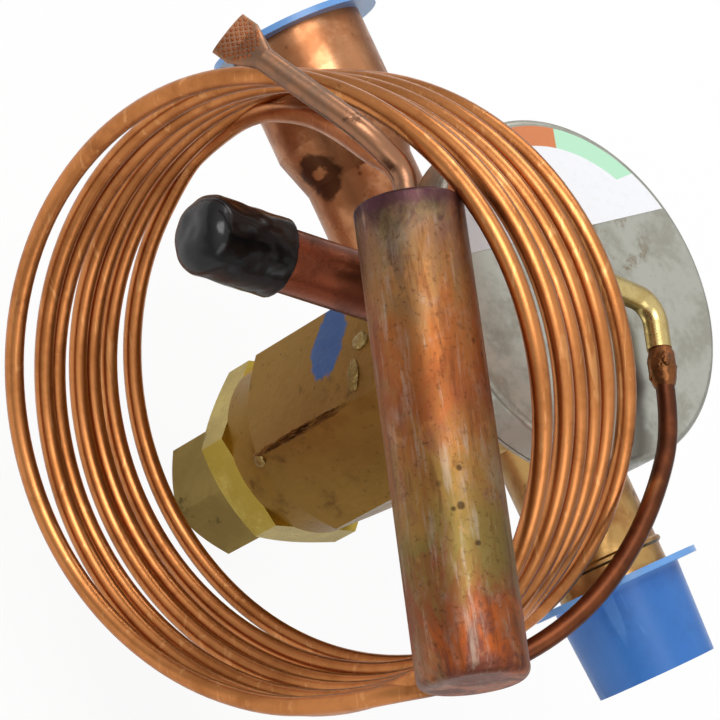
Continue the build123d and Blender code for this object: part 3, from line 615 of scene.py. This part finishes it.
def make_body_brass(colours):
    """Brass with stains, a rough skin and a blue paint mark."""
    finish, board, skin = new_finish("forged_brass")
    where = board.place()
    patch_mask = board.patches(where, 75.0, 0.42, 0.6)
    stain_mask = board.patches(where, 130.0, 0.56, 0.68, shift=(0.3, 0.1, 0.2))
    colour = board.mix(patch_mask, colours.brass, "947236")
    colour = board.lay(colour, stain_mask, 0.7, "5E4220")
    colour = board.lay(colour, board.specks(where, 850.0, 0.3, 0.5), 0.5, "4A3418")
    mark = board.place(PAINT_MARK * MM, PAINT_ALONG, HEX_FLAT)
    away = board.vector("LENGTH", board.vector("MULTIPLY", mark, PAINT_SPREAD))
    ragged = board.math("ADD", away, board.times(board.noise(where, 420.0, 4.0), 0.9))
    paint = board.ease(ragged, *PAINT_EDGE)
    worn_paint = board.ease(board.noise(where, 900.0, 3.0), 0.25, 0.5, 0.95, 1.0)
    colour = board.lay(colour, paint, worn_paint, "0C5096")
    roughness = board.ease(board.math("ADD", patch_mask, stain_mask), 0.0, 1.5, 0.34, 0.52)
    grain = board.noise(where, 1500.0, 3.0)
    scratches = board.scratches(where, 500.0)
    height = board.math("ADD", grain, board.times(scratches["Height"], 0.4))
    join_skin(board, skin, colour, roughness, height, 0.35, 0.00015,
              metallic=board.math("SUBTRACT", 1.0, paint, clamp=True))
    return finish


def make_scorched_copper():
    """Copper of the outlet tube, mottled, with a dark ring where the torch stood."""
    finish, board, skin = new_finish("scorched_copper")
    where = board.place()
    patch_mask = board.patches(where, 85.0, 0.40, 0.62)
    stain_mask = board.patches(where, 170.0, 0.52, 0.68, shift=(0.6, 0.1, 0.2))
    colour = board.mix(patch_mask, "B27B55", "96603E")
    colour = board.lay(colour, stain_mask, 0.7, "BE8C68")
    colour = board.lay(colour, board.specks(where, 620.0, 0.26, 0.45), 0.7, "3C2114")
    away = board.vector("LENGTH", board.place(SCORCH * MM))
    wander = board.times(board.noise(where, 480.0, 4.0), 0.0035)
    ragged = board.math("ADD", away, wander)
    outside = board.ease_mm(ragged, SCORCH_OUTSIDE)
    inside = board.ease_mm(ragged, SCORCH_INSIDE)
    colour = board.lay(colour, board.math("SUBTRACT", outside, inside), 0.85, "32190F", clamp=True)
    roughness = board.ease(patch_mask, 0.0, 1.0, 0.26, 0.4)
    scratches = board.scratches(where, 650.0)
    join_skin(board, skin, colour, roughness, scratches["Height"], 0.3, 0.0001)
    return finish


def make_head_steel(colours):
    """Spun stainless steel, mottled, with flux stains round the tube stub."""
    finish, board, skin = new_finish("spun_steel")
    head = board.place(HEAD_CENTRE * MM)
    patch_mask = board.patches(head, 120.0, 0.42, 0.6)
    stain_mask = board.patches(head, 190.0, 0.52, 0.66, shift=(0.1, 0.3, 0.2))
    colour = board.mix(patch_mask, colours.steel, "A09E93")
    from_stub = board.vector("LENGTH", board.vector("SUBTRACT", head, STUB_OFFSET * MM))
    flux = board.times(stain_mask, board.ease_mm(from_stub, FLUX_REACH))
    colour = board.lay(colour, stain_mask, 0.25, "8A8474")
    colour = board.lay(colour, flux, 0.9, "745C38")
    roughness = board.ease(board.math("ADD", patch_mask, flux), 0.0, 1.5, 0.32, 0.5)
    rings = board.times(board.vector("LENGTH", head), LATHE_RINGS)
    rings = board.times(board.math("SINE", rings), 0.12)
    scratches = board.scratches(head, 800.0)
    height = board.math("ADD", scratches["Height"], rings)
    join_skin(board, skin, colour, roughness, height, 0.2, 0.00008)
    return finish


def make_label(colours):
    """Printed label with a plain brown and mint edge band and no lettering."""
    finish, board, skin = new_finish("printed_label")
    turn = math.radians(LABEL_TURN)
    side = Vector((math.cos(turn), math.sin(turn), 0.0))
    head = board.place(HEAD_CENTRE * MM, side, Vector((0.0, 0.0, 1.0)))
    parts = board.split(head)
    flat = board.vector("LENGTH", board.vector("MULTIPLY", head, (1.0, 1.0, 0.0)))
    angle = board.math("ARCTAN2", parts[1], parts[0])
    band = board.ease_mm(flat, LABEL_BAND)
    brown = board.ease(angle, *(math.radians(turned) for turned in LABEL_BROWN))
    wide = board.ease_mm(parts[0], LABEL_STRIPE)
    worn = board.noise(head, 900.0, 4.0, 0.6)
    paper = board.mix(board.ease(worn, 0.5, 0.75, 0.0, 0.25), colours.label, "D8D8D8")
    colour = board.lay(paper, band, wide, "B5E5C5")
    colour = board.lay(colour, band, brown, "D17A45")
    colour = board.lay(colour, board.patches(head, 160.0, 0.6, 0.75), 0.25, "A8A292")
    skin["Coat Weight"].default_value = 0.25
    roughness = board.ease(worn, 0.3, 0.7, 0.32, 0.45)
    join_skin(board, skin, colour, roughness, worn, 0.06, 0.00005, metallic=0.0)
    return finish


def make_plastic(colours, kind):
    """Moulded plastic, paler where it is thin at its flange, with rub marks."""
    finish, board, skin = new_finish(kind.name)
    where = board.place()
    rubbed = board.patches(where, 110.0, 0.45, 0.7)
    scratches = board.scratches(where, 700.0)
    colour = board.mix(rubbed, getattr(colours, kind.base, kind.base), kind.shade)
    if kind.flange_at is not None:
        off = board.math("SUBTRACT", board.split(where)[0], kind.flange_at * MM)
        off = board.math("ABSOLUTE", off)
        colour = board.mix(board.ease_mm(off, FLANGE_PALE, 0.0, 0.85), colour, kind.pale)
    colour = board.lay(colour, scratches["Mask"], 0.25, kind.pale)
    roughness = board.ease(rubbed, 0.0, 1.0, kind.rough, kind.rough + 0.14)
    skin["Specular IOR Level"].default_value = kind.gloss
    skin["Coat Weight"].default_value = kind.coat
    skin["Coat Roughness"].default_value = 0.12
    fine = board.times(scratches["Height"], 0.25)
    large = board.times(board.noise(where, 160.0, 2.0), kind.dents)
    join_skin(board, skin, colour, roughness, board.math("ADD", fine, large), kind.bump, 0.0004,
              metallic=0.0)
    return finish


def dress(finish, *names):
    """Gives a finish to CAD nodes or new pieces."""
    for name in names:
        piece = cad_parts.get(name) or bpy.data.objects[name]
        if not piece.material_slots:
            piece.data.materials.append(finish)
        for slot in piece.material_slots:
            slot.material = finish


# ---- modelling helpers ----

def nothing_selected():
    """Object mode with nothing selected."""
    if bpy.context.object and bpy.context.object.mode != "OBJECT":
        bpy.ops.object.mode_set(mode="OBJECT")
    bpy.ops.object.select_all(action="DESELECT")


def keep_place(piece, body):
    """Puts the piece's place in its mesh and lets it ride on a body."""
    nothing_selected()
    piece.select_set(True)
    bpy.context.view_layer.objects.active = piece
    bpy.ops.object.transform_apply(location=True, rotation=True, scale=True)
    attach(piece, body)


def shape_by(piece, name, kind, **settings):
    """Adds a modifier with its settings to the active piece and applies it."""
    modifier = piece.modifiers.new(name, kind)
    for setting, value in settings.items():
        setattr(modifier, setting, value)
    bpy.ops.object.modifier_apply(modifier=name)


def add_blob(name, centre, size, along, lumps):
    """A set drop of metal: a sphere stretched along a direction and roughened."""
    nothing_selected()
    bpy.ops.mesh.primitive_ico_sphere_add(subdivisions=5, radius=1.0, location=(0.0, 0.0, 0.0))
    blob = bpy.context.object
    blob.name = name
    bpy.ops.object.mode_set(mode="EDIT")
    bpy.ops.mesh.select_all(action="SELECT")
    bpy.ops.transform.resize(value=[s * MM for s in size])
    bpy.ops.object.mode_set(mode="OBJECT")
    texture = bpy.data.textures.new(name + "_lumps", "CLOUDS")
    texture.noise_scale = min(size) * MM * 1.1
    shape_by(blob, "lumps", "DISPLACE", texture=texture, strength=lumps * MM)
    turned = Vector(along).normalized().to_track_quat("X", "Z").to_matrix().to_4x4()
    blob.matrix_world = Matrix.Translation(Vector(centre) * MM) @ turned
    bpy.ops.object.shade_smooth_by_angle(angle=math.radians(60))
    return blob


def depth_at(angle):
    """How far back a turn lies at an angle round the coil, in millimetres."""
    for (a, depth), (b, other) in zip(COIL_DEPTHS, COIL_DEPTHS[1:]):
        if b <= angle <= a:
            return depth + (other - depth) * (angle - a) / (b - a)
    return COIL_DEPTHS[-1][1]


# ---- operators ----

class VALVE_OT_camera(bpy.types.Operator):
    """Place the camera that looks at the coil and the sensing bulb"""

    bl_idname = "valve.camera"
    bl_label = "Place Camera"

    def execute(self, context):
        lens = bpy.data.cameras.new("valve_camera")
        lens.lens = CAMERA_LENS
        lens.sensor_width = CAMERA_SENSOR
        lens.clip_start = 0.01
        lens.clip_end = 50.0
        camera = bpy.data.objects.new("valve_camera", lens)
        context.scene.collection.objects.link(camera)
        stand = Matrix((CAMERA_RIGHT, CAMERA_UP, CAMERA_BACK)).transposed().to_4x4()
        camera.matrix_world = Matrix.Translation(CAMERA_PLACE) @ stand
        context.scene.camera = camera
        return {"FINISHED"}


class VALVE_OT_capillary(bpy.types.Operator):
    """Lay the capillary tube from the solder joint round its coil to the bulb"""

    bl_idname = "valve.capillary"
    bl_label = "Lay Capillary"

    def execute(self, context):
        sizes = context.scene.valve_capillary
        route = [Vector(p) * MM for p in LEAD_ROUTE]
        route += self.coil_points(sizes)
        route += [Vector(p) * MM for p in TAIL_ROUTE]

        curve = bpy.data.curves.new("capillary", "CURVE")
        curve.dimensions = "3D"
        curve.resolution_u = 8
        curve.bevel_depth = 1.0     # so that a point's radius is the tube's own
        curve.bevel_resolution = 4
        curve.use_fill_caps = True
        line = curve.splines.new("NURBS")
        line.points.add(len(route) - 1)
        for point, place in zip(line.points, route):
            point.co = (*place, 1.0)
            point.radius = sizes.diameter / 2
        line.order_u = 3
        line.use_endpoint_u = True
        capillary = bpy.data.objects.new("capillary_tube", curve)
        context.scene.collection.objects.link(capillary)
        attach(capillary, "valve")
        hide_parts("capillary_lead", "capillary_coil", "capillary_tail")
        return {"FINISHED"}

    def coil_points(self, sizes):
        """Control points of the turns, from the front one back to the valve."""
        count = round((COIL_START - COIL_END) / 360 * sizes.turn_points)
        step = (COIL_END - COIL_START) / count
        # the curve runs inside its control points, nearer the centre by this factor
        inset = 0.75 + 0.25 * math.cos(math.radians(step))
        found = []
        for i in range(count + 1):
            angle = COIL_START + step * i
            depth = depth_at(angle)
            share = -depth / COIL_DEPTH
            radius = sizes.front_radius + (sizes.back_radius - sizes.front_radius) * share
            radius += MM * sum(height * math.sin(math.radians(angle * waves + start))
                               for height, waves, start in COIL_SWAYS)
            turn = math.radians(angle)
            out = COIL_UP * math.cos(turn) + COIL_SIDE * math.sin(turn)
            found.append((COIL_CENTRE + COIL_ALONG * depth) * MM + out * radius / inset)
        return found


class VALVE_OT_solder(bpy.types.Operator):
    """Add the drops and crust of solder and the flash line on the body"""

    bl_idname = "valve.solder"
    bl_label = "Add Solder And Flash"

    def execute(self, context):
        for piece in [add_blob(*shape) for shape in SPATTER]:
            keep_place(piece, "valve")
        self.crust()
        return {"FINISHED"}

    def crust(self):
        """A lump of solder, with smaller lumps on it, where the capillary enters the stub."""
        collar = add_blob("solder_lump", *SOLDER_LUMP)
        keep_place(collar, "valve")
        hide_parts("solder_joint")
        for number, (place, size) in enumerate(CRUST_LUMPS, 1):
            lump = add_blob(f"joint_crust_{number}", place, size, CRUST_ALONG, CRUST_ROUGHNESS)
            keep_place(lump, "valve")


class VALVE_OT_crimp(bpy.types.Operator):
    """Raise the knurls on both faces of the crimped filling tube"""

    bl_idname = "valve.crimp"
    bl_label = "Knurl Crimped Tube"

    def execute(self, context):
        stud = self.add_stud()
        side = (FAN_SIDE - FAN_ALONG * FAN_SIDE.dot(FAN_ALONG)).normalized()
        face = FAN_ALONG.cross(side)
        studs = []
        for along, across, height in self.knurl_places():
            for sign in (1, -1):
                copy = stud.copy()
                copy.data = stud.data.copy()
                context.scene.collection.objects.link(copy)
                turned = Matrix((FAN_ALONG, side * sign, face * sign)).transposed().to_4x4()
                place = FAN_ROOT + FAN_ALONG * along + side * across + face * (sign * height)
                copy.matrix_world = Matrix.Translation(place * MM) @ turned
                studs.append(copy)
        nothing_selected()
        for copy in studs:
            copy.select_set(True)
        context.view_layer.objects.active = studs[0]
        bpy.ops.object.join()
        knurls = context.object
        knurls.name = "crimp_knurls"
        bpy.data.objects.remove(stud)
        keep_place(knurls, "valve")
        return {"FINISHED"}

    def add_stud(self):
        """One knurl, a four-sided stud with its edges broken."""
        nothing_selected()
        bpy.ops.mesh.primitive_cone_add(vertices=4, radius1=KNURL_ROOT * MM,
                                        radius2=KNURL_TIP * MM, depth=KNURL_HEIGHT * MM,
                                        location=(0.0, 0.0, 0.0))
        stud = bpy.context.object
        bpy.ops.object.mode_set(mode="EDIT")
        bpy.ops.mesh.select_all(action="SELECT")
        bpy.ops.mesh.bevel(offset=KNURL_BEVEL * MM, segments=2)
        bpy.ops.object.mode_set(mode="OBJECT")
        return stud

    def knurl_places(self):
        """Staggered rows over the fan's face: along it, across it and half its thickness."""
        for row in range(KNURL_ROWS):
            along = KNURL_START + KNURL_ALONG * row
            for column in range(-KNURL_COLUMNS, KNURL_COLUMNS + 1):
                across = (column + 0.5 * (row % 2)) * KNURL_ACROSS
                height = self.fan_height(along, across)
                if height is not None:
                    yield along, across, height

    def fan_height(self, along, across):
        """Half thickness of the fan at a place on its face, or None off its face."""
        share = min(along / FAN_FLARE, 1.0)
        half_width = FILL_RADIUS + (FAN_HALF_WIDTH - FILL_RADIUS) * share
        half_thickness = FILL_RADIUS + (FAN_HALF_THICKNESS - FILL_RADIUS) * share
        if abs(across) > half_width - KNURL_SIDE_MARGIN or along > FAN_END - KNURL_END_MARGIN:
            return None
        return half_thickness * math.sqrt(1 - (across / half_width) ** 2)


class VALVE_OT_vinyl_cap(bpy.types.Operator):
    """Dent the soft black cap, which was dipped and pushed on by hand"""

    bl_idname = "valve.vinyl_cap"
    bl_label = "Dent Vinyl Cap"

    def execute(self, context):
        nothing_selected()
        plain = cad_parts["equalizer_cap"]
        cap = bpy.data.objects.new("dented_vinyl_cap", plain.data.copy())
        context.scene.collection.objects.link(cap)
        cap.select_set(True)
        context.view_layer.objects.active = cap
        bpy.ops.object.mode_set(mode="EDIT")
        bpy.ops.mesh.select_all(action="SELECT")
        bpy.ops.mesh.remove_doubles(threshold=CAP_WELD * MM)
        bpy.ops.mesh.normals_make_consistent(inside=False)
        bpy.ops.object.mode_set(mode="OBJECT")
        shape_by(cap, "even", "REMESH", mode="VOXEL", voxel_size=CAP_VOXEL * MM)
        swells = bpy.data.textures.new("vinyl_swells", "CLOUDS")
        swells.noise_scale = CAP_SWELLS * MM
        shape_by(cap, "dents", "DISPLACE", texture=swells, mid_level=0.0,
                 strength=CAP_DENTS * MM)
        shape_by(cap, "soften", "SMOOTH", factor=0.5, iterations=6)
        bpy.ops.object.shade_smooth_by_angle(angle=math.radians(50))
        keep_place(cap, "equalizer_cap")
        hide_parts("equalizer_cap")
        return {"FINISHED"}


class VALVE_OT_finishes(bpy.types.Operator):
    """Build the finishes and give them to every piece"""

    bl_idname = "valve.finishes"
    bl_label = "Apply Finishes"

    def execute(self, context):
        colours = context.scene.valve_colours
        make_tarnish_group()
        make_speck_group()
        make_scratch_group()
        dress(make_coil_copper(colours), "capillary_tube", "capillary_lead", "capillary_coil",
              "capillary_tail")
        dress(make_bulb_copper(), "bulb_shell")
        dress(make_body_brass(colours), "valve_body")
        dress(make_scorched_copper(), "outlet_tube")
        dress(make_head_steel(colours), "upper_housing", "lower_housing")
        dress(make_label(colours), "head_label")
        for kind in METALS:
            dress(make_metal(colours, kind), *kind.pieces)
        for kind in PLASTICS:
            dress(make_plastic(colours, kind), *kind.pieces)
        return {"FINISHED"}


class VALVE_OT_stage(bpy.types.Operator):
    """Set the pale floor, the soft lamps and the white surroundings"""

    bl_idname = "valve.stage"
    bl_label = "Set Stage"

    def execute(self, context):
        settings = context.scene.valve_stage
        nothing_selected()
        low = CAD_BOX[0]
        bpy.ops.mesh.primitive_plane_add(
            size=settings.floor_size,
            location=(STAGE_MIDDLE.x, STAGE_MIDDLE.y, low.z - FLOOR_ROOM))
        floor = bpy.context.object
        floor.name = "floor"
        floor.data.materials.append(self.floor_finish())
        for name, place, size, power in LAMPS:
            self.lamp(name, place, size, getattr(settings, power))
        self.surroundings(context)
        context.scene.view_settings.view_transform = "Standard"
        return {"FINISHED"}

    def floor_finish(self):
        """Matt pale floor that reads as white and keeps the object's shadow."""
        finish, board, skin = new_finish("pale_floor")
        nodes = {node.type: node for node in board.tree.nodes}
        board.feed(skin["Base Color"], board.mix(board.noise(board.place(), 3.0), "F4F4F4",
                                                 "FAFAFA"))
        skin["Roughness"].default_value = 0.9
        glow = board.node("ShaderNodeEmission")
        path = board.node("ShaderNodeLightPath")
        blend = board.node("ShaderNodeMixShader")
        share = board.times(path.outputs["Is Camera Ray"], FLOOR_GLOW)
        board.feed(blend.inputs[0], share)
        board.feed(blend.inputs[1], nodes["BSDF_PRINCIPLED"].outputs[0])
        board.feed(blend.inputs[2], glow.outputs[0])
        board.feed(nodes["OUTPUT_MATERIAL"].inputs["Surface"], blend.outputs[0])
        return finish

    def lamp(self, name, place, size, power):
        """A square soft lamp that faces the valve."""
        light = bpy.data.lights.new(name, "AREA")
        light.shape = "SQUARE"
        light.size = size
        light.energy = power
        lamp = bpy.data.objects.new(name, light)
        bpy.context.scene.collection.objects.link(lamp)
        lamp.location = place
        lamp.rotation_mode = "QUATERNION"
        lamp.rotation_quaternion = (STAGE_MIDDLE - Vector(place)).to_track_quat("-Z", "Y")

    def surroundings(self, context):
        """White to the eye, a room with a bright ceiling in reflections, dimmer as a light."""
        world = bpy.data.worlds.new("pale_room")
        context.scene.world = world
        world.use_nodes = True
        world.node_tree.nodes.clear()
        board = Board(world.node_tree)
        path = board.node("ShaderNodeLightPath")
        seen = board.math("MAXIMUM", path.outputs["Is Camera Ray"],
                          path.outputs["Is Transmission Ray"])
        height = board.split(board.node("ShaderNodeTexCoord").outputs["Generated"])[2]
        ceiling = board.ease(height, *ROOM_IN_METAL)
        mirrored = board.times(path.outputs["Is Glossy Ray"], ceiling)
        mirrored = board.math("MAXIMUM", mirrored, ROOM_LIGHT)
        background = board.node("ShaderNodeBackground")
        output = board.node("ShaderNodeOutputWorld")
        board.feed(background.inputs["Strength"], board.math("MAXIMUM", seen, mirrored))
        background.inputs["Color"].default_value = (1.0, 1.0, 1.0, 1.0)
        board.feed(output.inputs["Surface"], background.outputs[0])


class VALVE_PT_maker(bpy.types.Panel):
    """Lists the valve's making steps and sizes."""

    bl_idname = "VALVE_PT_maker"
    bl_label = "Expansion Valve"
    bl_space_type = "VIEW_3D"
    bl_region_type = "UI"
    bl_category = "Valve"

    def draw(self, context):
        layout = self.layout
        for step in STEPS:
            layout.operator(step.bl_idname)
        for group in ("valve_capillary", "valve_colours", "valve_stage"):
            settings = getattr(context.scene, group)
            box = layout.box()
            for name in settings.__annotations__:
                box.prop(settings, name)


STEPS = (VALVE_OT_camera, VALVE_OT_capillary, VALVE_OT_solder, VALVE_OT_crimp,
         VALVE_OT_vinyl_cap, VALVE_OT_finishes, VALVE_OT_stage)
CLASSES = (CapillarySizes, FinishColours, StageSettings, *STEPS, VALVE_PT_maker)


def register():
    for item in CLASSES:
        bpy.utils.register_class(item)
    bpy.types.Scene.valve_capillary = bpy.props.PointerProperty(type=CapillarySizes)
    bpy.types.Scene.valve_colours = bpy.props.PointerProperty(type=FinishColours)
    bpy.types.Scene.valve_stage = bpy.props.PointerProperty(type=StageSettings)


def unregister():
    del bpy.types.Scene.valve_stage
    del bpy.types.Scene.valve_colours
    del bpy.types.Scene.valve_capillary
    for item in reversed(CLASSES):
        bpy.utils.unregister_class(item)


def main():
    register()
    bpy.ops.valve.camera()
    bpy.ops.valve.capillary()
    bpy.ops.valve.solder()
    bpy.ops.valve.crimp()
    bpy.ops.valve.vinyl_cap()
    bpy.ops.valve.finishes()
    bpy.ops.valve.stage()


if __name__ == "__main__":
    main()
